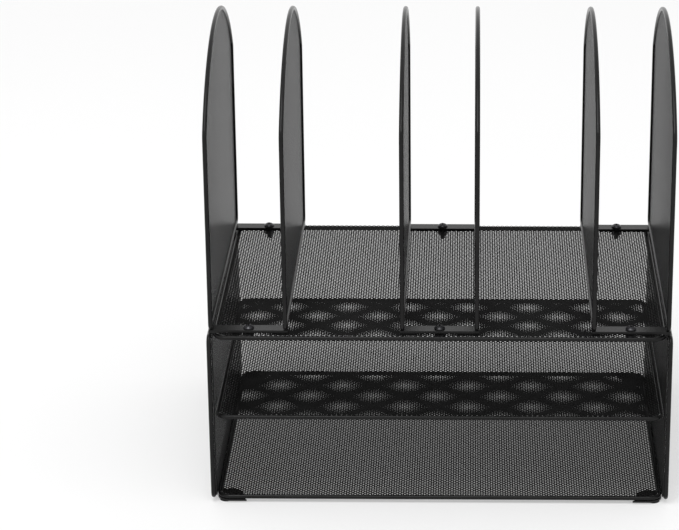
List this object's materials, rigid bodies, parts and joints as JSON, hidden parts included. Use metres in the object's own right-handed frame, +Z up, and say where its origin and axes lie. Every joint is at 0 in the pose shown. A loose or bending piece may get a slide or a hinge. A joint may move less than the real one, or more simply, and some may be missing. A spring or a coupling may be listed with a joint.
{
  "type": "desktop file sorter",
  "caption": "Black wire-mesh desktop file sorter: a tray base with letter slots open front and back, and arched upright dividers bolted on top for files and folders.",
  "frame": {"origin": "middle of the footprint, at the height of the desk under the feet", "axes": "+X to the right along the width, +Y to the back, +Z up; the open letter slots face -Y and +Y"},
  "size_m": [0.3466, 0.244, 0.3508],
  "materials": {
    "painted_wire": "satin black powder coat",
    "painted_mesh": "satin black powder coat",
    "painted_strip": "satin black powder coat",
    "black_zinc": "black zinc plating",
    "foot_rubber": "matt black"
  },
  "bodies": {
    "root": {"left_side_frame": "painted_wire", "left_side_mesh": "painted_mesh", "right_side_frame": "painted_wire", "right_side_mesh": "painted_mesh", "bottom_deck_frame": "painted_wire", "bottom_deck_mesh": "painted_mesh", "middle_shelf_frame": "painted_wire", "middle_shelf_mesh": "painted_mesh", "top_deck_frame": "painted_wire", "top_deck_mesh": "painted_mesh", "left_section_left_divider_frame": "painted_wire", "left_section_left_divider_mesh": "painted_mesh", "left_section_right_divider_frame": "painted_wire", "left_section_right_divider_mesh": "painted_mesh", "left_section_front_flange": "painted_strip", "left_section_rear_flange": "painted_strip", "centre_section_left_divider_frame": "painted_wire", "centre_section_left_divider_mesh": "painted_mesh", "centre_section_right_divider_frame": "painted_wire", "centre_section_right_divider_mesh": "painted_mesh", "centre_section_front_flange": "painted_strip", "centre_section_rear_flange": "painted_strip", "right_section_left_divider_frame": "painted_wire", "right_section_left_divider_mesh": "painted_mesh", "right_section_right_divider_frame": "painted_wire", "right_section_right_divider_mesh": "painted_mesh", "right_section_front_flange": "painted_strip", "right_section_rear_flange": "painted_strip", "screws": "black_zinc", "nuts": "black_zinc", "corner_plates": "painted_strip", "foot_pads": "foot_rubber"}
  },
  "joints": []
}
